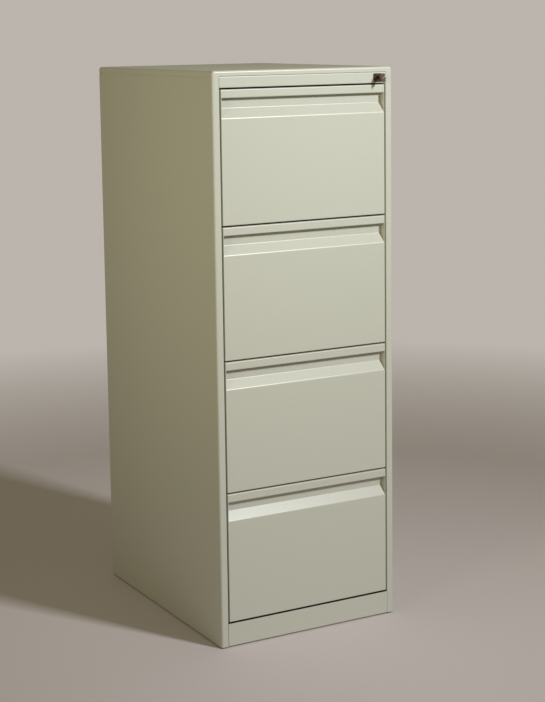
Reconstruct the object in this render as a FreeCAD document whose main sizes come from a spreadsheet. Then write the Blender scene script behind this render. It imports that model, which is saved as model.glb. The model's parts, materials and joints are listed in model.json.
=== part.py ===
import FreeCAD, Part
import math
import os
import Sketcher
from types import SimpleNamespace

# An upright filing cabinet with flush fronts: a folded steel carcass, drawers on
# ball slides, and a key lock that lifts one bar to hold all the drawers shut.
# Millimetres. X to the right, Y to the back, Z up. The floor is Z = 0, and the
# origin is the middle of the whole part's footprint box, key included.

# Driving sizes
SIZES = {
    # the whole cabinet
    "cabinet_width": 470,
    "cabinet_depth": 622,
    "cabinet_height": 1321,
    "floor_gap": 3,
    "drawer_count": 4,
    # carcass panels
    "panel_sheet": 0.9,
    "hidden_bend": 1.2,
    "fit_gap": 0.3,
    "stile_width": 18,
    "stile_return": 28,
    "stile_inner_edge": 2,
    "front_corner": 5,
    "rear_corner": 3,
    "rear_return": 20,
    "roof_skirt": 15,
    "roof_side_edge": 8,
    "seam_gap": 1.2,
    "seam_setback": 16,
    "lap_setback": 12,
    "lap_below_seam": 8,
    "lap_above_seam": 6,
    "top_rail_height": 12,
    "top_rail_return": 14,
    "lock_rail_height": 26,
    "lock_rail_setback": 0.5,
    "lock_rail_depth": 26,
    "lock_rail_joint": 0.5,
    "lock_rail_edge": 2.5,
    "plinth_height": 54,
    "plinth_return": 20,
    "tongue_setback": 3.8,
    "base_flange": 25,
    "back_return": 15,
    "back_under_roof": 2,
    # uprights behind the side panels
    "upright_sheet": 1.2,
    "upright_web": 40,
    "upright_flange": 12,
    "upright_inset": 55,
    "upright_top_gap": 35,
    "slide_wall_step": 1,
    # glide feet
    "foot_diameter": 30,
    "foot_stem": 8,
    "foot_stem_length": 20,
    "foot_inset_side": 45,
    "foot_inset_end": 50,
    "foot_nut_width": 13,
    "foot_nut_height": 6,
    "foot_edge": 1,
    "hole_clearance": 0.2,
    # ball slides
    "slide_rear_gap": 44.2,
    "slide_setback": 36,
    "slide_height": 45.7,
    "slide_thickness": 12.7,
    "slide_sheet": 1.2,
    "slide_bend": 0.6,
    "slide_level": 120,
    "running_gap": 0.4,
    "ball_diameter": 4,
    "ball_clearance": 0.1,
    "ball_inset": 8.5,
    "balls_per_row": 4,
    "ball_pitch": 60,
    "cage_sheet": 0.5,
    "cage_length": 240,
    "cage_rim": 0.6,
    "cage_play": 0.3,
    "rivet_head": 9,
    "rivet_head_height": 1,
    "rivet_shank": 4.8,
    "rivet_tail": 6.5,
    "rivet_tail_height": 1.5,
    "rivet_spacing": 20,
    "buffer_length": 6,
    "buffer_width": 9,
    "member_past_buffer": 2,
    # drawers
    "drawer_gap": 3.5,
    "drawer_side_gap": 4,
    "front_sheet": 0.9,
    "front_bend": 1.5,
    "front_return": 15,
    "lip_height": 19,
    "lip_return": 3,
    "recess_depth": 14.5,
    "recess_height": 42,
    "recess_bend": 4,
    "slope_bend": 6,
    "slope_end": 64,
    "inner_sheet": 0.8,
    "inner_flange": 12,
    "inner_top_gap": 3,
    "tray_sheet": 0.8,
    "tray_lift": 12,
    "tray_height": 255,
    "tray_rear_gap": 24,
    "tray_back_drop": 25,
    "tray_back_ledge": 8,
    "rim_width": 9,
    "rim_drop": 7,
    "lug_level": 170,
    "lug_height": 16,
    "lug_reach": 7,
    "lug_foot": 14,
    "lug_bend": 0.5,
    "lug_setback": 1,
    "lug_sheet": 1.5,
    # lock
    "lock_inset": 41,
    "bezel_size": 20,
    "bezel_depth": 2.5,
    "bezel_corner": 2,
    "bezel_edge": 0.8,
    "housing_diameter": 16,
    "housing_length": 24,
    "barrel_diameter": 12,
    "barrel_clearance": 0.08,
    "barrel_stand": 0.6,
    "barrel_edge": 0.5,
    "tail_size": 6,
    "cam_sheet": 2,
    "cam_width": 11,
    "cam_nose": 8,
    "cam_pin": 4,
    "cam_screw_head": 7,
    "cam_screw_height": 2,
    "screw_hole": 3.2,
    "screw_length": 6,
    "clip_sheet": 1,
    "clip_width": 28,
    "clip_height": 20,
    "bar_lift": 10,
    "bar_width": 11,
    "bar_sheet": 3,
    "bar_setback": 30,
    "bar_wall_gap": 3.6,
    "bar_foot": 30,
    "pin_slot_clearance": 0.4,
    "slot_wall": 3.5,
    "finger_height": 8,
    "finger_gap": 2,
    "finger_reach": 12,
    "tab_sheet": 2,
    "pin_stand": 1,
    "guide_height": 20,
    "guide_wall": 3,
    "guide_grip": 6,
    "guide_level": 230,
    # key
    "key_reach": 34,
    "key_thickness": 2.2,
    "key_clearance": 0.2,
    "key_blade_height": 8,
    "key_blade_length": 20,
    "key_neck_height": 9,
    "key_neck_overlap": 2,
    "bow_length": 24,
    "bow_height": 19.5,
    "bow_hole": 5,
    "bow_corner": 8,
    "key_notch": 1.5,
    "key_blade_overlap": 1,
}

PLANES = {"plan": "XY_Plane", "front": "XZ_Plane", "side": "YZ_Plane"}
AXES = {"plan": "z", "front": "y", "side": "x"}
DIRECTIONS = {
    "plan": FreeCAD.Vector(0, 0, 1),
    "front": FreeCAD.Vector(0, 1, 0),
    "side": FreeCAD.Vector(1, 0, 0),
}
TURNS = {
    "plan": FreeCAD.Rotation(),
    "front": FreeCAD.Rotation(FreeCAD.Vector(1, 0, 0), 90),
    "side": FreeCAD.Rotation(FreeCAD.Vector(1, 1, 1), 120),
}
LOCAL_PLACE = FreeCAD.Vector(0, 0, 0)
# How far a cutting solid runs past what it cuts, and a joined one into its neighbour
MARGIN = 1
# Depths of the cuts along the key, in halves of a notch
KEY_CUTS = (1, 2, 1.5, 2)
ALMOST_NOTHING = 1e-6


class Size:
    """A number that keeps the formula it came from, so that it can be bound."""

    def __init__(self, value, text):
        self.value = float(value)
        self.text = text

    def __add__(self, other):
        return Size(self.value + number(other), f"({self.text} + {formula(other)})")

    def __radd__(self, other):
        return Size(number(other) + self.value, f"({formula(other)} + {self.text})")

    def __sub__(self, other):
        return Size(self.value - number(other), f"({self.text} - {formula(other)})")

    def __rsub__(self, other):
        return Size(number(other) - self.value, f"({formula(other)} - {self.text})")

    def __mul__(self, other):
        return Size(self.value * number(other), f"({self.text} * {formula(other)})")

    def __rmul__(self, other):
        return Size(number(other) * self.value, f"({formula(other)} * {self.text})")

    def __truediv__(self, other):
        return Size(self.value / number(other), f"({self.text} / {formula(other)})")

    def __neg__(self):
        return Size(-self.value, f"(-{self.text})")


def root(thing):
    return Size(math.sqrt(thing.value), f"sqrt({thing.text})")


def number(thing):
    return thing.value if isinstance(thing, Size) else float(thing)


def formula(thing):
    return thing.text if isinstance(thing, Size) else repr(thing)


doc = FreeCAD.newDocument("filing_cabinet")
sheet = doc.addObject("Spreadsheet::Sheet", "sizes")
for row, (alias, value) in enumerate(SIZES.items(), start=1):
    sheet.set(f"A{row}", alias)
    sheet.set(f"B{row}", str(value))
    sheet.setAlias(f"B{row}", alias)
places = doc.addObject("App::VarSet", "places")
doc.recompute()
size = SimpleNamespace(**{alias: Size(value, f"sizes.{alias}") for alias, value in SIZES.items()})
subparts = {}


def place(name, where):
    """Keep a worked-out position or length in the document under a name."""
    places.addProperty("App::PropertyFloat", name)
    places.setExpression(name, formula(where))
    return Size(number(where), f"places.{name}")


def bind(thing, property_name, wanted):
    thing.setExpression(property_name, formula(wanted))


def keep(name, thing):
    """Name a finished sub-part."""
    thing.Label = name
    subparts[name] = thing
    return thing


# Sketch helpers


def pin_point(sketch, line, end, x, y):
    for direction, where in (("DistanceX", x), ("DistanceY", y)):
        rule = Sketcher.Constraint(direction, -1, 1, line, end, number(where))
        added = sketch.addConstraint(rule)
        bind(sketch, f"Constraints[{added}]", where)


def draw_line(sketch, points, closed):
    """Straight lines through points, each point pinned to its place."""
    corners = [FreeCAD.Vector(number(x), number(y), 0) for x, y in points]
    count = len(points)
    first = sketch.GeometryCount
    lines = count if closed else count - 1
    for index in range(lines):
        line = Part.LineSegment(corners[index], corners[(index + 1) % count])
        sketch.addGeometry(line, False)
    for index in range(lines - 1):
        sketch.addConstraint(Sketcher.Constraint("Coincident", first + index, 2, first + index + 1, 1))
    if closed:
        sketch.addConstraint(Sketcher.Constraint("Coincident", first + lines - 1, 2, first, 1))
    for index, (x, y) in enumerate(points):
        if index < lines:
            pin_point(sketch, first + index, 1, x, y)
        else:
            pin_point(sketch, first + index - 1, 2, x, y)
    return corners


def draw_circle(sketch, x, y, diameter):
    centre = FreeCAD.Vector(number(x), number(y), 0)
    circle = sketch.addGeometry(Part.Circle(centre, DIRECTIONS["plan"], number(diameter) / 2), False)
    pin_point(sketch, circle, 3, x, y)
    rule = sketch.addConstraint(Sketcher.Constraint("Diameter", circle, number(diameter)))
    bind(sketch, f"Constraints[{rule}]", diameter)


def rectangle(low_x, low_y, high_x, high_y):
    """A drawing of one rectangle, for a pad or a pocket."""
    outline = corners_of(low_x, low_y, high_x, high_y)
    return lambda sketch: draw_line(sketch, outline, closed=True)


def circle(x, y, diameter):
    """A drawing of one circle."""
    return lambda sketch: draw_circle(sketch, x, y, diameter)


def hexagon(across_flats):
    """A drawing of a hexagon round the origin, two flats level."""
    half = across_flats / 2
    corner = across_flats / root(Size(3, "3"))
    outline = [
        (corner, 0),
        (corner / 2, half),
        (-corner / 2, half),
        (-corner, 0),
        (-corner / 2, -half),
        (corner / 2, -half),
    ]
    return lambda sketch: draw_line(sketch, outline, closed=True)


def corners_of(low_x, low_y, high_x, high_y):
    return [(low_x, low_y), (high_x, low_y), (high_x, high_y), (low_x, high_y)]


def round_corner(sketch, line, before, corner, after, radius):
    """Round the corner between a line and the next one."""
    near = corner + (before - corner) * 0.3
    far = corner + (after - corner) * 0.3
    first = sketch.GeometryCount
    sketch.fillet(line, line + 1, near, far, number(radius), True, True)
    added = range(first, sketch.GeometryCount)
    arc = next(index for index in added if isinstance(sketch.Geometry[index], Part.ArcOfCircle))
    rule = sketch.addConstraint(Sketcher.Constraint("Radius", arc, number(radius)))
    bind(sketch, f"Constraints[{rule}]", radius)


# Folded sheet


def folded(name, view, points, bends, thickness, start, length):
    """A folded sheet on the left of the line through points, drawn in a view.

    Each bend is the inside radius of the fold at that corner.
    """
    path = doc.addObject("Sketcher::SketchObject", name + "_path")
    path.Placement = FreeCAD.Placement(LOCAL_PLACE, TURNS[view])
    bind(path, "Placement.Base." + AXES[view], start)
    corners = draw_line(path, points, closed=False)
    for index, bend in enumerate(bends):
        before, corner, after = corners[index:index + 3]
        turns_left = (corner - before).cross(after - corner).z > 0
        radius = bend + thickness if turns_left else bend
        round_corner(path, index, before, corner, after, radius)
    section = doc.addObject("Part::Offset2D", name + "_section")
    section.Source = path
    section.Mode = "Skin"
    section.Fill = True
    bind(section, "Value", -thickness)
    doc.recompute()
    if not lies_left(path, section, number(thickness)):
        bind(section, "Value", thickness)
    run = doc.addObject("Part::Extrusion", name + "_run")
    run.Base = section
    run.DirMode = "Custom"
    run.Dir = DIRECTIONS[view]
    run.Solid = True
    bind(run, "LengthFwd", length)
    return run


def lies_left(path, section, thickness):
    """Whether the section's sheet is on the left of the first line of its path."""
    first = path.Geometry[0]
    along = (first.EndPoint - first.StartPoint).normalize()
    left = FreeCAD.Vector(-along.y, along.x, 0)
    middle = (first.StartPoint + first.EndPoint) / 2
    probe = path.Placement.multVec(middle + left * (thickness / 2))
    return section.Shape.distToShape(Part.Vertex(probe))[0] < ALMOST_NOTHING


# Plain solids and booleans


def block(name, low, high):
    made = doc.addObject("Part::Box", name)
    for axis, side, near, far in zip("xyz", ("Length", "Width", "Height"), low, high):
        bind(made, "Placement.Base." + axis, near)
        bind(made, side, far - near)
    return made


def rod(name, view, low, diameter, length):
    """A round bar that starts at a point and runs along a view's direction."""
    made = doc.addObject("Part::Cylinder", name)
    turn = FreeCAD.Rotation(DIRECTIONS["plan"], DIRECTIONS[view])
    made.Placement = FreeCAD.Placement(LOCAL_PLACE, turn)
    for axis, where in zip("xyz", low):
        bind(made, "Placement.Base." + axis, where)
    bind(made, "Radius", diameter / 2)
    bind(made, "Height", length)
    return made


def joined(name, pieces):
    made = doc.addObject("Part::MultiFuse", name)
    made.Shapes = pieces
    made.Refine = True
    return made


def cut(name, base, tool):
    made = doc.addObject("Part::Cut", name)
    made.Base = base
    made.Tool = tool
    made.Refine = True
    doc.recompute()
    if made.Shape.Volume > base.Shape.Volume - ALMOST_NOTHING:
        raise RuntimeError(name + " cuts nothing")
    return made


def group(name, pieces):
    made = doc.addObject("Part::Compound", name)
    made.Links = pieces
    return made


def mirrored(name, source):
    """The same piece on the other side of the cabinet."""
    made = doc.addObject("Part::Mirroring", name)
    made.Source = source
    made.Normal = DIRECTIONS["side"]
    return made


def lifted(thing, height):
    bind(thing, "Placement.Base.z", height)
    return thing


# Solids with features


def new_body(name):
    made = doc.addObject("PartDesign::Body", name)
    made.AllowCompound = True
    return made


def sketch_in(body, view, start):
    roles = {feature.Role: feature for feature in body.Origin.OriginFeatures}
    sketch = body.newObject("Sketcher::SketchObject", body.Name + "_sketch")
    sketch.AttachmentSupport = (roles[PLANES[view]], [""])
    sketch.MapMode = "FlatFace"
    offset = -start if view == "front" else start
    bind(sketch, "AttachmentOffset.Base.z", offset)
    return sketch


def pad(body, view, start, length, draw):
    """Add what draw puts in a sketch at start, from there along the view's axis."""
    sketch = sketch_in(body, view, start)
    draw(sketch)
    feature = body.newObject("PartDesign::Pad", body.Name + "_pad")
    feature.Profile = sketch
    feature.Reversed = view == "front"
    bind(feature, "Length", length)
    doc.recompute()
    return feature


def pocket(body, view, start, length, draw):
    """Cut what draw puts in a sketch at start, from there along the view's axis."""
    before = body.Shape.Volume
    sketch = sketch_in(body, view, start)
    draw(sketch)
    feature = body.newObject("PartDesign::Pocket", body.Name + "_pocket")
    feature.Profile = sketch
    feature.Reversed = view != "front"
    bind(feature, "Length", length)
    doc.recompute()
    if body.Shape.Volume > before - ALMOST_NOTHING:
        raise RuntimeError(body.Name + " has a pocket that cuts nothing")
    return feature


def dress(body, kind, property_name, amount, chosen):
    """Fillet or chamfer the edges of the body's last feature that are chosen."""
    base = body.Tip
    names = [f"Edge{index}" for index, edge in enumerate(base.Shape.Edges, start=1) if chosen(edge)]
    feature = body.newObject("PartDesign::" + kind, body.Name + "_" + kind.lower())
    feature.Base = (base, names)
    bind(feature, property_name, amount)
    doc.recompute()
    return feature


def hollow(body, thickness, opened):
    """Turn the body's last feature into a shell, without the faces that are opened."""
    base = body.Tip
    names = [f"Face{index}" for index, face in enumerate(base.Shape.Faces, start=1) if opened(face)]
    feature = body.newObject("PartDesign::Thickness", body.Name + "_shell")
    feature.Base = (base, names)
    feature.Reversed = True
    feature.Join = "Arc"
    bind(feature, "Value", thickness)
    doc.recompute()
    return feature


def is_along(edge, direction):
    ends = [vertex.Point for vertex in edge.Vertexes]
    if len(ends) < 2 or not isinstance(edge.Curve, Part.Line):
        return False
    return abs(abs((ends[1] - ends[0]).normalize().dot(direction)) - 1) < ALMOST_NOTHING


def is_at(value, where):
    return abs(value - number(where)) < 0.01


# Places that several pieces share

half_width = place("half_width", size.cabinet_width / 2)
front = place("front", (size.key_reach - size.cabinet_depth) / 2)
rear = place("rear", front + size.cabinet_depth)
top = size.cabinet_height
seam = place("seam", top - size.roof_skirt)
wall_inside = place("wall_inside", half_width - size.panel_sheet)
opening = place("opening", half_width - size.stile_width)
lock_rail_top = place("lock_rail_top", top - size.top_rail_height - size.lock_rail_joint)
lock_rail_bottom = place("lock_rail_bottom", top - size.top_rail_height - size.lock_rail_height)
plinth_top = place("plinth_top", size.floor_gap + size.plinth_height)
base_bottom = place("base_bottom", size.floor_gap + size.panel_sheet)
base_top = place("base_top", base_bottom + size.panel_sheet)
drawer_pitch = place(
    "drawer_pitch", (lock_rail_bottom - plinth_top - size.drawer_gap) / size.drawer_count
)
front_height = place("front_height", drawer_pitch - size.drawer_gap)
front_half = place("front_half", opening - size.drawer_side_gap)
slide_wall = place("slide_wall", opening + size.slide_wall_step)
slide_front = place("slide_front", front + size.slide_setback)
tray_half = place("tray_half", slide_wall - size.slide_thickness)
back_inside = place("back_inside", rear - 2 * size.panel_sheet)
slide_rear = place("slide_rear", back_inside - size.slide_rear_gap)
slide_length = place("slide_length", slide_rear - slide_front)
tray_rear = place("tray_rear", back_inside - size.tray_rear_gap)
drawer_inside = place("drawer_inside", front + size.recess_depth + size.front_sheet + size.inner_sheet)
front_upright = place("front_upright", front + size.upright_inset)
rear_upright = place("rear_upright", rear - size.upright_inset - size.upright_web)
rail_face = place("rail_face", front + size.lock_rail_setback)
lock_x = place("lock_x", half_width - size.lock_inset)
lock_z = place("lock_z", (lock_rail_top + lock_rail_bottom) / 2)
bezel_front = place("bezel_front", rail_face - size.bezel_depth)
barrel_front = place("barrel_front", bezel_front - size.barrel_stand)
housing_rear = place("housing_rear", front + size.housing_length)
barrel_rear = place("barrel_rear", housing_rear + size.fit_gap)
cam_rear = place("cam_rear", barrel_rear + size.cam_sheet)
screw_tip = place("screw_tip", cam_rear - size.screw_length)
bar_front = place("bar_front", front + size.bar_setback)
bar_rear = place("bar_rear", bar_front + size.bar_sheet)
bar_far = place("bar_far", wall_inside - size.bar_wall_gap)
slot_half = place("slot_half", size.cam_pin / 2 + size.pin_slot_clearance)
tab_top = place("tab_top", lock_z - size.bar_lift / 2 + slot_half + size.slot_wall)

# How far in from the slides' wall each part of a slide lies, and half its height
ball_space = place("ball_space", size.ball_diameter + size.ball_clearance * 2)
slide_tip = place("slide_tip", tray_half + size.running_gap)
outer_web = place("outer_web", size.slide_sheet + size.rivet_head_height + size.running_gap)
middle_web = place("middle_web", outer_web + size.cage_sheet + size.running_gap)
inner_web = place("inner_web", middle_web + size.slide_sheet + size.running_gap)
cabinet_track = place("cabinet_track", size.slide_height / 2 - size.slide_sheet)
outer_row = place("outer_row", cabinet_track - ball_space / 2)
middle_half = place("middle_half", cabinet_track - ball_space)
middle_track = place("middle_track", middle_half - size.slide_sheet)
inner_row = place("inner_row", middle_track - ball_space / 2)
drawer_member_half = place("drawer_member_half", middle_track - ball_space)
drawers = range(1, SIZES["drawer_count"] + 1)


def drawer_bottom(index):
    """Height of a drawer front's lower edge, the first drawer at the top."""
    return lock_rail_bottom - drawer_pitch * index


bar_bottom = place(
    "bar_bottom", drawer_bottom(SIZES["drawer_count"]) + size.lug_level - size.bar_foot
)


# Carcass


def side_panels():
    """Each side: inner return, stile, side and rear return in one folded sheet."""
    shell = folded(
        "side",
        "plan",
        [
            (opening, front + size.stile_return),
            (opening, front),
            (half_width, front),
            (half_width, rear),
            (half_width - size.rear_return, rear),
        ],
        [
            size.stile_inner_edge - size.panel_sheet,
            size.front_corner - size.panel_sheet,
            size.rear_corner - size.panel_sheet,
        ],
        size.panel_sheet,
        size.floor_gap,
        seam - size.floor_gap,
    )
    slot = block(
        "side_seam",
        (half_width - size.rear_return - MARGIN, front + size.seam_setback, seam - size.seam_gap),
        (half_width + MARGIN, rear + MARGIN, seam + MARGIN),
    )
    lap = block(
        "side_lap",
        (wall_inside - size.panel_sheet, front + size.lap_setback, seam - size.lap_below_seam),
        (wall_inside, rear - size.seam_setback, seam + size.lap_above_seam),
    )
    trimmed = cut("side_trimmed", shell, slot)
    right = keep("right_side_panel", joined("right_side", [trimmed, lap]))
    return right, keep("left_side_panel", mirrored("left_side", right))


def top_panel():
    """The top: a shallow lid whose front flange is the rail above the lock rail."""
    body = new_body("roof")
    rail_bottom = top - size.top_rail_height

    def outline(sketch):
        corners = draw_line(sketch, corners_of(-half_width, seam, half_width, top), closed=True)
        round_corner(sketch, 1, corners[1], corners[2], corners[3], size.roof_side_edge)
        round_corner(sketch, 2, corners[2], corners[3], corners[0], size.roof_side_edge)

    def end_edges(where):
        def chosen(edge):
            box = edge.BoundBox
            return is_at(box.YMin, where) and is_at(box.YMax, where) and not is_at(box.ZMax, seam)

        return chosen

    pad(body, "front", front, size.cabinet_depth, outline)
    dress(body, "Fillet", "Radius", size.front_corner, end_edges(front))
    dress(body, "Fillet", "Radius", size.rear_corner, end_edges(rear))
    hollow(body, size.panel_sheet, lambda face: is_at(face.BoundBox.ZMax, seam))
    pocket(
        body,
        "front",
        front - MARGIN,
        size.front_corner + MARGIN,
        rectangle(-opening, seam - MARGIN, opening, rail_bottom),
    )
    pad(
        body,
        "front",
        front + size.panel_sheet / 2,
        size.top_rail_return,
        rectangle(-opening, rail_bottom, opening, rail_bottom + size.panel_sheet),
    )
    return keep("top_panel", body)


def back_panel():
    """A pan inside the side panels' rear returns, its top and bottom edges turned in."""
    outer = rear - size.panel_sheet
    inner = outer - size.back_return
    high = top - size.roof_side_edge + size.back_under_roof
    half = half_width - size.rear_corner - size.fit_gap
    pan = folded(
        "back",
        "side",
        [(inner, base_top), (outer, base_top), (outer, high), (inner, high)],
        [size.hidden_bend, size.hidden_bend],
        size.panel_sheet,
        -half,
        half * 2,
    )
    return keep("back_panel", pan)


def base_panel():
    """The floor of the carcass: turned up at the sides, with a tongue on the plinth."""
    flange_top = base_bottom + size.base_flange
    start = front + size.stile_return + size.fit_gap
    tray = folded(
        "base",
        "front",
        [
            (-wall_inside, flange_top),
            (-wall_inside, base_bottom),
            (wall_inside, base_bottom),
            (wall_inside, flange_top),
        ],
        [size.hidden_bend, size.hidden_bend],
        size.panel_sheet,
        start,
        rear - size.rear_corner - size.fit_gap - start,
    )
    tongue_half = opening - size.fit_gap
    tongue = block(
        "base_tongue",
        (-tongue_half, front + size.tongue_setback, base_bottom),
        (tongue_half, start + MARGIN, base_top),
    )
    holes = [
        rod(
            f"base_hole_{index}",
            "plan",
            (x, y, size.floor_gap),
            size.foot_stem + size.hole_clearance,
            base_top,
        )
        for index, (x, y) in enumerate(foot_places(), start=1)
    ]
    floor = cut("base_floor", joined("base_sheet", [tray, tongue]), group("base_holes", holes))
    return keep("base_panel", floor)


def foot_places():
    across = half_width - size.foot_inset_side
    near = front + size.foot_inset_end
    far = rear - size.foot_inset_end
    return [(-across, near), (across, near), (-across, far), (across, far)]


def rail(name, high, low, face, depth, edge):
    """A channel across the front, between the stiles, open to the back."""
    half = opening - size.fit_gap
    return folded(
        name,
        "side",
        [(face + depth, high), (face, high), (face, low), (face + depth, low)],
        [edge - size.panel_sheet, size.hidden_bend],
        size.panel_sheet,
        -half,
        half * 2,
    )


def plinth():
    """An angle across the front, its top edge plain and its foot turned back under the floor."""
    half = opening - size.fit_gap
    angle = folded(
        "plinth_angle",
        "side",
        [
            (front, plinth_top),
            (front, size.floor_gap),
            (front + size.plinth_return, size.floor_gap),
        ],
        [size.hidden_bend],
        size.panel_sheet,
        -half,
        half * 2,
    )
    return keep("plinth", angle)


def lock_rail():
    channel = rail(
        "lock_channel",
        lock_rail_top,
        lock_rail_bottom,
        rail_face,
        size.lock_rail_depth - size.lock_rail_setback,
        size.lock_rail_edge,
    )
    hole = rod(
        "lock_hole",
        "front",
        (lock_x, rail_face - MARGIN, lock_z),
        size.housing_diameter + size.hole_clearance,
        size.panel_sheet + MARGIN * 2,
    )
    return keep("lock_rail", cut("lock_rail_sheet", channel, hole))


def upright(name, start):
    """Right-hand hat section on the side panel, its web the wall for the slides."""
    foot = wall_inside
    web = slide_wall + size.upright_sheet
    end = start + size.upright_web
    hat = folded(
        name,
        "plan",
        [
            (foot, start - size.upright_flange),
            (foot, start),
            (web, start),
            (web, end),
            (foot, end),
            (foot, end + size.upright_flange),
        ],
        [size.hidden_bend] * 4,
        size.upright_sheet,
        base_bottom + size.base_flange + size.fit_gap,
        top - size.upright_top_gap - base_bottom - size.base_flange - size.fit_gap,
    )
    holes = []
    for index in drawers:
        for y in rivet_rows(start):
            start_point = (slide_wall - MARGIN, y, drawer_bottom(index) + size.slide_level)
            drill = size.rivet_shank + size.hole_clearance
            deep = size.upright_sheet + MARGIN * 2
            holes.append(rod(f"{name}_hole", "side", start_point, drill, deep))
    return cut(name + "_drilled", hat, group(name + "_holes", holes))


def rivet_rows(start):
    middle = start + size.upright_web / 2
    return [middle - size.rivet_spacing / 2, middle + size.rivet_spacing / 2]


def uprights():
    for name, start in (("front", front_upright), ("rear", rear_upright)):
        right = keep(f"right_{name}_upright", upright(f"upright_{name}", start))
        keep(f"left_{name}_upright", mirrored(f"upright_{name}_left", right))


def glide_feet():
    """Four feet: a disc under the base, with a stem up through it."""
    foot = new_body("foot")
    pad(foot, "plan", 0, base_bottom, circle(0, 0, size.foot_diameter))

    def rim(edge):
        return is_at(edge.BoundBox.ZMax, 0)

    dress(foot, "Chamfer", "Size", size.foot_edge, rim)
    pad(foot, "plan", base_bottom, size.foot_stem_length, circle(0, 0, size.foot_stem))
    nut = new_body("nut")
    pad(nut, "plan", base_top, size.foot_nut_height, hexagon(size.foot_nut_width))
    pocket(nut, "plan", base_top, size.foot_nut_height, circle(0, 0, size.foot_stem + size.hole_clearance))
    for name, master in (("glide_feet", foot), ("foot_nuts", nut)):
        copies = []
        for x, y in foot_places():
            copy = group(name + "_copy", [master])
            bind(copy, "Placement.Base.x", x)
            bind(copy, "Placement.Base.y", y)
            copies.append(copy)
        keep(name, group(name, copies))


# Ball slides, measured up from their drawer's lower edge


def channel(name, tip, web, half_height, thickness, start, length):
    """A C section along Y, its web at one X and its flanges reaching to another."""
    low = size.slide_level - half_height
    high = size.slide_level + half_height
    points = [(tip, low), (web, low), (web, high), (tip, high)]
    if number(tip) > number(web):
        points.reverse()
    bends = [size.slide_bend, size.slide_bend]
    return folded(name, "front", points, bends, thickness, start, length)


def cabinet_member():
    member = channel(
        "cabinet_member",
        slide_tip,
        slide_wall,
        size.slide_height / 2,
        size.slide_sheet,
        slide_front,
        slide_length + size.buffer_length + size.member_past_buffer,
    )
    holes = [
        rod(
            "cabinet_member_hole",
            "side",
            (slide_wall - size.slide_sheet - MARGIN, y, size.slide_level),
            size.rivet_shank + size.hole_clearance,
            size.slide_sheet + MARGIN * 2,
        )
        for start in (front_upright, rear_upright)
        for y in rivet_rows(start)
    ]
    return cut("cabinet_member_drilled", member, group("cabinet_member_holes", holes))


def slide_buffer():
    """Rubber at the back end of the cabinet member, where the drawer stops."""
    half = middle_half - size.slide_sheet
    face = slide_wall - size.slide_sheet
    return block(
        "slide_buffer",
        (face - size.buffer_width, slide_rear + size.fit_gap, size.slide_level - half),
        (face, slide_rear + size.fit_gap + size.buffer_length, size.slide_level + half),
    )


def slide_rivets():
    """The rivets of one slide: flat heads in the channel, tails behind the upright."""
    rivets = []
    face = slide_wall - size.slide_sheet
    for start in (front_upright, rear_upright):
        for y in rivet_rows(start):
            rivet = new_body("rivet")
            for begin, length, diameter in (
                (face - size.rivet_head_height, size.rivet_head_height, size.rivet_head),
                (face, size.slide_sheet + size.upright_sheet, size.rivet_shank),
                (slide_wall + size.upright_sheet, size.rivet_tail_height, size.rivet_tail),
            ):
                pad(rivet, "side", begin, length, circle(y, size.slide_level, diameter))
            rivets.append(rivet)
    return group("rivets", rivets)


def ball_cage(name, web, row):
    """A thin channel with the balls of both tracks in its flanges."""
    ball_x = slide_wall - size.ball_inset
    middle = (slide_front + slide_rear) / 2
    strip = channel(
        name,
        ball_x - size.ball_diameter / 2 - size.cage_rim,
        web,
        row + size.cage_sheet / 2,
        size.cage_sheet,
        middle - size.cage_length / 2,
        size.cage_length,
    )
    holes = []
    balls = []
    count = SIZES["balls_per_row"]
    for index in range(count):
        y = middle + size.ball_pitch * (index - (count - 1) / 2)
        low = (ball_x, y, size.slide_level - size.slide_height / 2)
        drill = size.ball_diameter + size.cage_play
        holes.append(rod(name + "_hole", "plan", low, drill, size.slide_height))
        for track in (-row, row):
            ball = doc.addObject("Part::Sphere", name + "_ball")
            bind(ball, "Radius", size.ball_diameter / 2)
            bind(ball, "Placement.Base.x", ball_x)
            bind(ball, "Placement.Base.y", y)
            bind(ball, "Placement.Base.z", size.slide_level + track)
            balls.append(ball)
    drilled = cut(name + "_drilled", strip, group(name + "_holes", holes))
    return group(name + "_set", [drilled] + balls)


def middle_member():
    return channel(
        "middle_member",
        slide_tip,
        slide_wall - middle_web,
        middle_half,
        size.slide_sheet,
        slide_front,
        slide_length,
    )


def drawer_member():
    return channel(
        "drawer_member",
        slide_wall - inner_web - size.cage_sheet - size.running_gap,
        tray_half,
        drawer_member_half,
        size.slide_sheet,
        slide_front,
        slide_length,
    )


# Drawers, measured up from their own lower edge


def drawer_front():
    """One folded sheet: return, flat face, slope, recess wall, top and pull lip."""
    skin = size.front_sheet
    bend = size.front_bend
    wall = front + size.recess_depth + skin
    strip = folded(
        "face",
        "side",
        [
            (front + size.front_return, skin),
            (front + skin, skin),
            (front + skin, front_height - size.slope_end),
            (wall, front_height - size.recess_height),
            (wall, front_height),
            (front, front_height),
            (front, front_height - size.lip_height),
            (front + size.lip_return, front_height - size.lip_height),
        ],
        [bend, size.slope_bend, size.recess_bend, bend, bend, bend],
        skin,
        -front_half,
        front_half * 2,
    )

    def end_plate(sketch):
        behind = front + size.front_return
        outline = [(behind, 0), (front, 0), (front, front_height), (behind, front_height)]
        corners = draw_line(sketch, outline, closed=True)
        for line in (0, 1):
            round_corner(sketch, line, *corners[line:line + 3], bend + skin)

    body = new_body("face_ends")
    pad(body, "side", -front_half, skin, end_plate)
    pad(body, "side", front_half - skin, skin, end_plate)
    return joined("face_whole", [strip, body])


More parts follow.
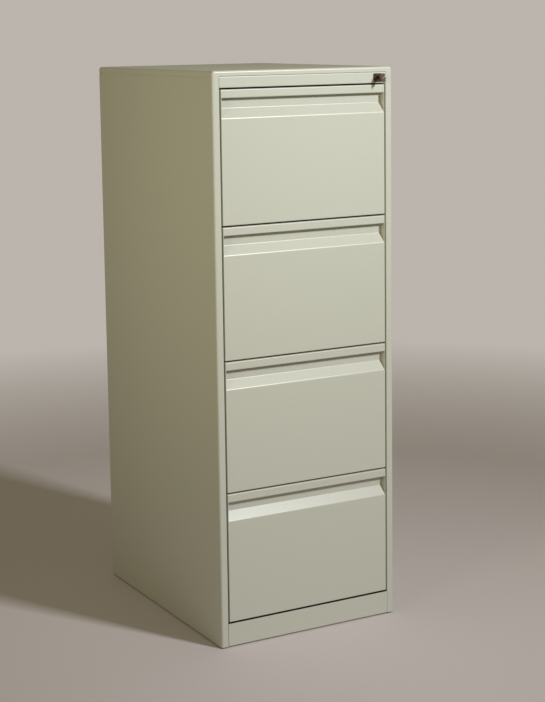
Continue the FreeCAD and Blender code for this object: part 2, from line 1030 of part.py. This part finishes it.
def inner_front():
    """A pan behind the drawer front, its side flanges inside the front's ends."""
    half = front_half - size.front_sheet
    inner = drawer_inside - size.inner_flange
    pan = folded(
        "inner_pan",
        "plan",
        [(half, inner), (half, drawer_inside), (-half, drawer_inside), (-half, inner)],
        [size.hidden_bend, size.hidden_bend],
        size.inner_sheet,
        size.front_sheet,
        front_height - size.slope_end - size.front_sheet,
    )
    plate = block(
        "inner_plate",
        (-half, drawer_inside - size.inner_sheet, front_height - size.slope_end - MARGIN),
        (half, drawer_inside, front_height - size.inner_top_gap),
    )
    return joined("inner_whole", [pan, plate])


def drawer_tray():
    """Floor and sides in one sheet with hanging rims, and a back."""
    low = size.tray_lift
    high = size.tray_lift + size.tray_height
    rim = tray_half - size.rim_width
    shell = folded(
        "tray",
        "front",
        [
            (-rim, high - size.rim_drop),
            (-rim, high),
            (-tray_half, high),
            (-tray_half, low),
            (tray_half, low),
            (tray_half, high),
            (rim, high),
            (rim, high - size.rim_drop),
        ],
        [size.hidden_bend] * 6,
        size.tray_sheet,
        drawer_inside,
        tray_rear - drawer_inside,
    )
    back = block(
        "tray_back",
        (size.tray_sheet - tray_half, tray_rear - size.tray_sheet, low + size.tray_sheet / 2),
        (tray_half - size.tray_sheet, tray_rear, high - size.tray_back_drop),
    )
    ledge = block(
        "tray_back_ledge",
        (size.tray_sheet - tray_half, tray_rear - size.tray_back_ledge, high - size.tray_back_drop),
        (tray_half - size.tray_sheet, tray_rear, high - size.tray_back_drop + size.tray_sheet),
    )
    return joined("tray_whole", [shell, back, ledge])


def lock_lug():
    """Angle on the tray's right side that a finger of the lock bar stands in front of."""
    face = slide_front + size.lug_setback
    return folded(
        "lug",
        "plan",
        [(tray_half, face + size.lug_foot), (tray_half, face), (tray_half + size.lug_reach, face)],
        [size.lug_bend],
        size.lug_sheet,
        size.lug_level,
        size.lug_height,
    )


def copy_up(name, pieces, index):
    """The sub-part of one drawer: shared pieces lifted to that drawer's height."""
    return keep(f"{name}_{index}", lifted(group(f"{name}_{index}", pieces), drawer_bottom(index)))


def drawer_set():
    both_sides = {
        "cabinet_slides": cabinet_member(),
        "middle_slides": middle_member(),
        "drawer_slides": drawer_member(),
        "outer_ball_cages": ball_cage("outer_cage", slide_wall - outer_web, outer_row),
        "inner_ball_cages": ball_cage("inner_cage", slide_wall - inner_web, inner_row),
    }
    pairs = {name: [right, mirrored(name + "_left", right)] for name, right in both_sides.items()}
    single = {
        "drawer_front": [drawer_front()],
        "drawer_inner_front": [inner_front()],
        "drawer_tray": [drawer_tray()],
        "drawer_lock_lug": [lock_lug()],
    }
    buffer = slide_buffer()
    rivets = slide_rivets()
    fixings = {
        "slide_buffers": [buffer, mirrored("slide_buffer_left", buffer)],
        "slide_rivets": [rivets, mirrored("rivets_left", rivets)],
    }
    for index in drawers:
        for name, pieces in {**pairs, **single}.items():
            copy_up(name, pieces, index)
    for name, pieces in fixings.items():
        levels = [lifted(group(name + "_level", pieces), drawer_bottom(index)) for index in drawers]
        keep(name, group(name, levels))


# Lock, drawn round the axis of its barrel


def at_lock(body):
    bind(body, "Placement.Base.x", lock_x)
    bind(body, "Placement.Base.z", lock_z)
    return body


def lock_housing():
    """Square bezel in front of the rail and a round body behind it."""
    body = new_body("housing")
    half = size.bezel_size / 2

    def bezel(sketch):
        draw_line(sketch, corners_of(-half, -half, half, half), closed=True)

    def upright_corner(edge):
        return is_along(edge, DIRECTIONS["front"])

    def front_rim(edge):
        box = edge.BoundBox
        return is_at(box.YMin, bezel_front) and is_at(box.YMax, bezel_front)

    pad(body, "front", bezel_front, size.bezel_depth, bezel)
    dress(body, "Fillet", "Radius", size.bezel_corner, upright_corner)
    dress(body, "Fillet", "Radius", size.bezel_edge, front_rim)
    pad(body, "front", rail_face, housing_rear - rail_face, circle(0, 0, size.housing_diameter))
    bore = size.barrel_diameter + size.barrel_clearance * 2
    pocket(body, "front", bezel_front, housing_rear - bezel_front, circle(0, 0, bore))
    return keep("lock_housing", at_lock(body))


def lock_clip():
    """Horseshoe clip that holds the housing against the back of the rail."""
    body = new_body("clip")
    start = rail_face + size.panel_sheet
    wide = size.clip_width / 2
    high = size.clip_height / 2
    throat = (size.housing_diameter + size.hole_clearance) / 2
    pad(body, "front", start, size.clip_sheet, rectangle(-wide, -high, wide, high))
    pocket(body, "front", start, size.clip_sheet, circle(0, 0, throat * 2))
    pocket(body, "front", start, size.clip_sheet, rectangle(-wide - MARGIN, -throat, 0, throat))
    return keep("lock_clip", at_lock(body))


def lock_barrel():
    """Turning barrel with a keyway in front and a square tail for the cam."""
    body = new_body("barrel")
    half_tail = size.tail_size / 2

    def front_rim(edge):
        return is_at(edge.BoundBox.YMax, barrel_front)

    pad(body, "front", barrel_front, barrel_rear - barrel_front, circle(0, 0, size.barrel_diameter))
    dress(body, "Chamfer", "Size", size.barrel_edge, front_rim)
    pad(
        body,
        "front",
        barrel_rear,
        size.cam_sheet,
        rectangle(-half_tail, -half_tail, half_tail, half_tail),
    )
    across = size.key_thickness / 2 + size.key_clearance
    along = size.key_blade_height / 2 + size.key_clearance
    pocket(
        body,
        "front",
        barrel_front,
        size.key_blade_length + size.key_clearance,
        rectangle(-across, -along, across, along),
    )
    pocket(body, "front", screw_tip, cam_rear - screw_tip, circle(0, 0, size.screw_hole))
    return keep("lock_barrel", at_lock(body))


def lock_cam():
    """Cam plate on the barrel's tail, with the pin that lifts the bar."""
    body = new_body("cam")
    half_tail = size.tail_size / 2
    reach = size.bar_lift / 2
    side = size.cam_width / 2 / root(Size(2, "2"))
    pad(body, "front", barrel_rear, size.cam_sheet, circle(0, 0, size.barrel_diameter))
    pad(body, "front", barrel_rear, size.cam_sheet, circle(reach, -reach, size.cam_nose))
    pad(
        body,
        "front",
        barrel_rear,
        size.cam_sheet,
        lambda sketch: draw_line(
            sketch,
            [
                (-side, -side),
                (reach - side, -reach - side),
                (reach + side, side - reach),
                (side, side),
            ],
            closed=True,
        ),
    )
    pocket(
        body,
        "front",
        barrel_rear,
        size.cam_sheet,
        rectangle(-half_tail, -half_tail, half_tail, half_tail),
    )
    pin_end = bar_rear + size.tab_sheet + size.pin_stand
    pad(body, "front", cam_rear, pin_end - cam_rear, circle(reach, -reach, size.cam_pin))
    return keep("lock_cam", at_lock(body))


def cam_screw():
    body = new_body("screw")
    pad(body, "front", screw_tip, cam_rear - screw_tip, circle(0, 0, size.screw_hole - size.hole_clearance))
    pad(body, "front", cam_rear, size.cam_screw_height, circle(0, 0, size.cam_screw_head))
    return keep("cam_screw", at_lock(body))


def lock_bar():
    """Flat bar inside the right stile, from below the last drawer's lug up to the lock."""
    near = bar_far - size.bar_width
    bar = block("bar", (near, bar_front, bar_bottom), (bar_far, bar_rear, tab_top))
    return keep("lock_bar", bar)


def lock_bar_tabs():
    """Plates welded on the bar's back: one slotted for the cam's pin, one by each lug."""
    near = bar_far - size.bar_width
    slot_low = lock_x + size.bar_lift / 2 - slot_half
    slot_high = lock_x + size.bar_lift / root(Size(2, "2")) + slot_half
    slot_level = lock_z - size.bar_lift / 2
    plate = new_body("slotted_tab")
    pad(
        plate,
        "front",
        bar_rear,
        size.tab_sheet,
        rectangle(slot_low - size.slot_wall, slot_level * 2 - tab_top, bar_far, tab_top),
    )
    pocket(
        plate,
        "front",
        bar_rear,
        size.tab_sheet,
        rectangle(slot_low, slot_level - slot_half, slot_high, slot_level + slot_half),
    )
    tabs = [plate]
    for index in drawers:
        finger_top = drawer_bottom(index) + size.lug_level - size.finger_gap
        low = (near - size.finger_reach, bar_rear, finger_top - size.finger_height)
        tabs.append(block("finger", low, (bar_far, bar_rear + size.tab_sheet, finger_top)))
    return keep("lock_bar_tabs", group("tabs", tabs))


def lock_bar_guides():
    """Plastic guides on the side panel, one by each drawer, and the bar's stop."""
    near = bar_front - size.guide_wall
    far = bar_rear + size.guide_wall
    grip = bar_far - size.guide_grip
    notch = bar_far + size.fit_gap

    def section(sketch):
        draw_line(
            sketch,
            [
                (grip, near),
                (wall_inside, near),
                (wall_inside, far),
                (grip, far),
                (grip, bar_rear + size.fit_gap),
                (notch, bar_rear + size.fit_gap),
                (notch, bar_front - size.fit_gap),
                (grip, bar_front - size.fit_gap),
            ],
            closed=True,
        )

    guide = new_body("guide")
    pad(guide, "plan", size.guide_level, size.guide_height, section)
    stop = block(
        "bar_stop",
        (bar_far - size.bar_width, near, bar_bottom - size.fit_gap - size.guide_wall),
        (wall_inside, far, bar_bottom - size.fit_gap),
    )
    copies = [lifted(group("guide_copy", [guide]), drawer_bottom(index)) for index in drawers]
    return keep("lock_bar_guides", group("guides", copies + [stop]))


def key():
    """Flat key: an oval bow with a ring hole, a neck and a notched blade."""
    body = new_body("key")
    start = size.key_thickness / -2
    bow_front = front - size.key_reach
    bow_rear = bow_front + size.bow_length
    half_bow = size.bow_height / 2

    def bow(sketch):
        corners = draw_line(sketch, corners_of(bow_front, -half_bow, bow_rear, half_bow), closed=True)
        for line in range(3):
            round_corner(
                sketch, line, corners[line], corners[line + 1], corners[(line + 2) % 4], size.bow_corner
            )

    def blade(sketch):
        half = size.key_blade_height / 2
        tip = barrel_front + size.key_blade_length
        notch = size.key_notch
        start = barrel_front - size.key_blade_overlap
        outline = [(start, -half), (tip - notch, -half), (tip, notch - half), (tip, half - notch)]
        for index, depth in enumerate(KEY_CUTS):
            middle = tip - notch * (2 * index + 2)
            outline += [(middle + notch, half), (middle, half - notch * depth / 2)]
        outline += [(tip - notch * (2 * len(KEY_CUTS) + 1), half), (start, half)]
        draw_line(sketch, outline, closed=True)

    pad(body, "side", start, size.key_thickness, bow)
    neck = size.key_neck_height / 2
    shoulder = barrel_front - size.key_clearance
    neck_start = bow_rear - size.key_neck_overlap
    pad(body, "side", start, size.key_thickness, rectangle(neck_start, -neck, shoulder, neck))
    pad(body, "side", start, size.key_thickness, blade)
    pocket(
        body, "side", start, size.key_thickness, circle(bow_front + size.bow_hole, 0, size.bow_hole)
    )
    return keep("key", at_lock(body))


side_panels()
top_panel()
back_panel()
base_panel()
plinth()
lock_rail()
uprights()
glide_feet()
drawer_set()
lock_housing()
lock_clip()
lock_barrel()
lock_cam()
cam_screw()
lock_bar()
lock_bar_tabs()
lock_bar_guides()
key()

doc.recompute()
for thing in doc.Objects:
    if "Invalid" in thing.State or "Error" in thing.State:
        raise RuntimeError(thing.Name + " failed")
os.makedirs("parts", exist_ok=True)
for name, thing in subparts.items():
    if thing.Shape.isNull() or not thing.Shape.isValid():
        raise RuntimeError(name + " has no valid shape")
for name, thing in subparts.items():
    thing.Shape.exportStep(f"parts/{name}.step")
print(len(subparts), "sub-parts")
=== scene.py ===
import math

import bpy
import json
from mathutils import Matrix, Vector


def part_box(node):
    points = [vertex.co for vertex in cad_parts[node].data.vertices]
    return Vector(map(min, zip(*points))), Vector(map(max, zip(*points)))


# A pale grey-green filing cabinet under soft studio light. Metres, Z up, front at -Y.

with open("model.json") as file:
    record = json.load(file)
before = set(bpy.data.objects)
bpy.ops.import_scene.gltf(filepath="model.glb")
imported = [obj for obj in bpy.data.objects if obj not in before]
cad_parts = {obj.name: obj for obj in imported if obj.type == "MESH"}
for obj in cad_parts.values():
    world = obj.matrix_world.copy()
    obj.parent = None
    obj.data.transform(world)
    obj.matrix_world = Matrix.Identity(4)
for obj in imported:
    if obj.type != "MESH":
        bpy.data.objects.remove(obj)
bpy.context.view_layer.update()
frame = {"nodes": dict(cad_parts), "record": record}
scene = bpy.context.scene
nodes = frame["nodes"]
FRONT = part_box("plinth")[0].y


# Node helpers


class Nodes:
    """A material's node tree with short calls for the nodes used here."""

    def __init__(self, name):
        self.material = bpy.data.materials.new(name)
        self.material.use_nodes = True
        self.tree = self.material.node_tree
        self.tree.nodes.clear()
        self.output = self.add("ShaderNodeOutputMaterial")
        self.shader = self.add("ShaderNodeBsdfPrincipled")
        self.join(self.shader.outputs[0], self.output.inputs["Surface"])
        self.place = self.add("ShaderNodeTexCoord").outputs["Object"]

    def add(self, kind):
        return self.tree.nodes.new(kind)

    def join(self, source, target):
        self.tree.links.new(source, target)

    def set(self, **values):
        for name, value in values.items():
            self.shader.inputs[name.replace("_", " ")].default_value = value

    def scaled(self, scale):
        mapping = self.add("ShaderNodeMapping")
        mapping.inputs["Scale"].default_value = scale
        self.join(self.place, mapping.inputs["Vector"])
        return mapping.outputs[0]

    def noise(self, scale, detail=3.0, rough=0.55, stretch=None):
        node = self.add("ShaderNodeTexNoise")
        node.inputs["Scale"].default_value = scale
        node.inputs["Detail"].default_value = detail
        node.inputs["Roughness"].default_value = rough
        self.join(self.scaled(stretch) if stretch else self.place, node.inputs["Vector"])
        return node.outputs["Fac"]

    def cells(self, scale):
        node = self.add("ShaderNodeTexVoronoi")
        node.inputs["Scale"].default_value = scale
        self.join(self.place, node.inputs["Vector"])
        return node.outputs["Color"]

    def spread(self, source, low, high, start=0.3, end=0.7):
        """A value between low and high that follows the source."""
        node = self.add("ShaderNodeMapRange")
        node.inputs["From Min"].default_value = start
        node.inputs["From Max"].default_value = end
        node.inputs["To Min"].default_value = low
        node.inputs["To Max"].default_value = high
        self.join(source, node.inputs["Value"])
        return node.outputs[0]

    def tint(self, source, low, high):
        """A colour between low and high that follows the source."""
        node = self.add("ShaderNodeMix")
        node.data_type = "RGBA"
        node.inputs["A"].default_value = (*low, 1)
        node.inputs["B"].default_value = (*high, 1)
        self.join(source, node.inputs["Factor"])
        return node.outputs["Result"]

    def bump(self, source, depth, strength, under=None):
        node = self.add("ShaderNodeBump")
        node.inputs["Distance"].default_value = depth
        node.inputs["Strength"].default_value = strength
        self.join(source, node.inputs["Height"])
        if under is not None:
            self.join(under, node.inputs["Normal"])
        return node.outputs[0]

    def finish(self, colour, roughness, normal=None):
        self.join(colour, self.shader.inputs["Base Color"])
        self.join(roughness, self.shader.inputs["Roughness"])
        if normal is not None:
            self.join(normal, self.shader.inputs["Normal"])
        return self.material


def shade(colour, factor):
    return tuple(channel * factor for channel in colour)


# Materials

PAINT = (0.600, 0.608, 0.530)


def powder_coat(name, colour, peel, roughness):
    """Baked powder paint on sheet steel: orange peel over faintly wavy sheet."""
    made = Nodes(name)
    grain = made.noise(420, detail=2)
    wave = made.noise(2.6, detail=0)
    made.set(Specular_IOR_Level=0.6, IOR=1.5)
    tone = made.tint(made.spread(grain, 0, 1), shade(colour, 0.985), shade(colour, 1.01))
    rough = made.spread(made.noise(60, detail=2), roughness - 0.01, roughness + 0.015)
    sheet = made.bump(wave, 0.004, 0.12)
    return made.finish(tone, rough, made.bump(grain, peel, 0.35, under=sheet))


def zinc(name, colour, roughness):
    """Zinc-plated strip: rolling streaks along its length under a clear passivation."""
    made = Nodes(name)
    made.set(Metallic=1.0, Anisotropic=0.35)
    streak = made.noise(260, detail=4, stretch=(1, 0.03, 1))
    cloud = made.noise(26, detail=3)
    tone = made.tint(made.spread(cloud, 0, 1), shade(colour, 0.86), colour)
    rough = made.spread(streak, roughness - 0.07, roughness + 0.10)
    return made.finish(tone, rough, made.bump(streak, 0.0002, 0.35))


def galvanised(name, colour):
    """Hot-dip spangle: flat crystals of slightly different tone."""
    made = Nodes(name)
    made.set(Metallic=0.9)
    split = made.add("ShaderNodeSeparateColor")
    made.join(made.cells(95), split.inputs[0])
    tone = made.tint(split.outputs[0], shade(colour, 0.80), shade(colour, 1.08))
    rough = made.spread(split.outputs[1], 0.34, 0.58, 0, 1)
    return made.finish(tone, rough, made.bump(made.noise(300, detail=3), 0.0002, 0.3))


def plated(name, colour, roughness):
    """Polished plating with handling marks."""
    made = Nodes(name)
    made.set(Metallic=1.0)
    mark = made.noise(900, detail=6, rough=0.7, stretch=(1, 1, 0.15))
    smudge = made.noise(160, detail=3)
    tone = made.tint(made.spread(smudge, 0, 1), shade(colour, 0.85), colour)
    rough = made.spread(mark, roughness - 0.05, roughness + 0.12)
    return made.finish(tone, rough, made.bump(mark, 0.0001, 0.25))


def polished(name, colour):
    """Ground and polished steel."""
    made = Nodes(name)
    made.set(Metallic=1.0)
    fine = made.noise(700, detail=4)
    tone = made.tint(fine, shade(colour, 0.94), colour)
    rough = made.spread(fine, 0.10, 0.20)
    return made.finish(tone, rough, made.bump(fine, 0.00005, 0.2))


def moulded(name, colour, roughness, grain, depth):
    """Moulded plastic or rubber with a fine spark-eroded grain."""
    made = Nodes(name)
    speck = made.noise(grain, detail=4)
    cloud = made.noise(40)
    tone = made.tint(made.spread(cloud, 0, 1), shade(colour, 0.9), shade(colour, 1.08))
    rough = made.spread(speck, roughness - 0.06, roughness + 0.08)
    return made.finish(tone, rough, made.bump(speck, depth, 0.4))


LOOKS = {
    "carcass_paint": powder_coat("carcass_paint", PAINT, 0.00030, 0.33),
    "front_paint": powder_coat("front_paint", PAINT, 0.00030, 0.33),
    "inner_paint": powder_coat("inner_paint", shade(PAINT, 0.96), 0.00040, 0.42),
    "galvanised_steel": galvanised("galvanised_steel", (0.60, 0.61, 0.62)),
    "zinc_plate": zinc("zinc_plate", (0.70, 0.71, 0.72), 0.30),
    "spring_steel": zinc("spring_steel", (0.34, 0.33, 0.33), 0.34),
    "bearing_steel": polished("bearing_steel", (0.78, 0.78, 0.79)),
    # Lock and key plating: the dark brown base colour stands in for the dark surroundings the
    # plating reflects and the shade it sits in, a painted reflection and painted shade.
    "nickel_plate": plated("nickel_plate", (0.17, 0.135, 0.105), 0.26),
    "key_nickel": plated("key_nickel", (0.26, 0.21, 0.165), 0.28),
    "nylon": moulded("nylon", (0.78, 0.77, 0.71), 0.45, 500, 0.0001),
    "black_plastic": moulded("black_plastic", (0.028, 0.028, 0.028), 0.45, 600, 0.0002),
    "rubber_black": moulded("rubber_black", (0.022, 0.022, 0.022), 0.72, 420, 0.0002),
}
slots = {entry["node"]: entry["material_slot"] for entry in frame["record"]["subparts"]}
for name, thing in nodes.items():
    for holder in thing.material_slots:
        holder.material = LOOKS[slots[name]]


# Stage: a round floor that meets a plain far background


def disc(name, radius, count=96):
    mesh = bpy.data.meshes.new(name)
    ring = [
        (radius * math.cos(math.tau * i / count), radius * math.sin(math.tau * i / count), 0)
        for i in range(count)
    ]
    mesh.from_pydata(ring, [], [range(count)])
    made = bpy.data.objects.new(name, mesh)
    scene.collection.objects.link(made)
    return made


FLOOR_RADIUS = 40
FLOOR_COLOUR = (0.76, 0.685, 0.705)
FADE_START, FADE_END = 1.5, 3.4
BACKGROUND = (0.50, 0.46, 0.42)
REFLECTED = (0.26, 0.23, 0.15)
WARM = (1.0, 0.92, 0.62)
FILL_STRENGTH = 0.20


def floor_material():
    """Matt near the cabinet, where it takes the shadow, and plain background far out."""
    made = Nodes("floor")
    made.set(Specular_IOR_Level=0.25)
    soft = made.noise(1.2, detail=2)
    made.finish(
        made.tint(soft, shade(FLOOR_COLOUR, 0.985), shade(FLOOR_COLOUR, 1.015)),
        made.spread(soft, 0.72, 0.80),
    )
    reach = made.add("ShaderNodeVectorMath")
    reach.operation = "LENGTH"
    made.join(made.place, reach.inputs[0])
    far = made.spread(reach.outputs["Value"], 0, 1, FADE_START, FADE_END)
    path = made.add("ShaderNodeLightPath")
    both = made.add("ShaderNodeMath")
    both.operation = "MULTIPLY"
    made.join(far, both.inputs[0])
    made.join(path.outputs["Is Camera Ray"], both.inputs[1])
    plain = made.add("ShaderNodeEmission")
    plain.inputs["Color"].default_value = (*BACKGROUND, 1)
    mix = made.add("ShaderNodeMixShader")
    made.join(both.outputs[0], mix.inputs[0])
    made.join(made.shader.outputs[0], mix.inputs[1])
    made.join(plain.outputs[0], mix.inputs[2])
    made.join(mix.outputs[0], made.output.inputs["Surface"])
    return made.material


def studio_world():
    """Warm fill for what is lit, a dimmer room in reflections, a plain background in view."""
    world = bpy.data.worlds.new("studio")
    world.use_nodes = True
    tree = world.node_tree
    tree.nodes.clear()
    path = tree.nodes.new("ShaderNodeLightPath")

    def light(colour, strength=1.0):
        made = tree.nodes.new("ShaderNodeBackground")
        made.inputs["Color"].default_value = (*colour, 1)
        made.inputs["Strength"].default_value = strength
        return made.outputs[0]

    def either(ray, first, second):
        mix = tree.nodes.new("ShaderNodeMixShader")
        tree.links.new(path.outputs[ray], mix.inputs[0])
        tree.links.new(first, mix.inputs[1])
        tree.links.new(second, mix.inputs[2])
        return mix.outputs[0]

    lit = either("Is Glossy Ray", light(WARM, FILL_STRENGTH), light(REFLECTED))
    out = tree.nodes.new("ShaderNodeOutputWorld")
    tree.links.new(either("Is Camera Ray", lit, light(BACKGROUND)), out.inputs["Surface"])
    return world


floor = disc("floor", FLOOR_RADIUS)
floor.data.materials.append(floor_material())
scene.world = studio_world()


# Lamps


def softbox(name, place, aim, side, power, colour, spread):
    """A square lamp aimed at a point; its spread in degrees narrows the beam."""
    light = bpy.data.lights.new(name, "AREA")
    light.shape = "SQUARE"
    light.size = side
    light.energy = power
    light.color = colour
    light.spread = math.radians(spread)
    made = bpy.data.objects.new(name, light)
    made.location = place
    made.rotation_mode = "QUATERNION"
    made.rotation_quaternion = (Vector(aim) - Vector(place)).to_track_quat("-Z", "Y")
    scene.collection.objects.link(made)


softbox(
    "key",
    place=(1.33, -3.06, 2.60),
    aim=(0, FRONT, 1.15),
    side=0.4,
    power=20.8,
    colour=(0.955, 0.98, 1.0),
    spread=84,
)
softbox(
    "bounce",
    place=(-2.4, -1.2, 1.5),
    aim=(-0.235, -0.15, 1.1),
    side=1.0,
    power=1.8,
    colour=WARM,
    spread=50,
)


# Camera: fitted to the edges in the photograph, within a shift other views can keep

FIT = {
    "place": (-1.882915, -3.516144, 1.411382),
    "yaw": 0.507947,
    "pitch": 0.14169,
    "roll": -0.013068,
    "focal_px": 1645.272,
    "shift_px": -88,
}
LONG_SIDE = 702
SENSOR = 36.0
camera = bpy.data.objects.new("camera", bpy.data.cameras.new("camera"))
scene.collection.objects.link(camera)
scene.camera = camera
camera.data.sensor_width = SENSOR
camera.data.lens = FIT["focal_px"] * SENSOR / LONG_SIDE
camera.data.shift_y = FIT["shift_px"] / LONG_SIDE
camera.data.clip_end = 2.5 * FLOOR_RADIUS
yaw, pitch, roll = FIT["yaw"], FIT["pitch"], FIT["roll"]
ahead = Vector(
    (math.sin(yaw) * math.cos(pitch), math.cos(yaw) * math.cos(pitch), -math.sin(pitch))
)
level = Vector((math.cos(yaw), -math.sin(yaw), 0))
upward = level.cross(ahead)
across = level * math.cos(roll) + upward * math.sin(roll)
above = upward * math.cos(roll) - level * math.sin(roll)
turn = Matrix((across, above, -ahead)).transposed()
camera.matrix_world = Matrix.Translation(FIT["place"]) @ turn.to_4x4()

scene.view_settings.view_transform = "Standard"
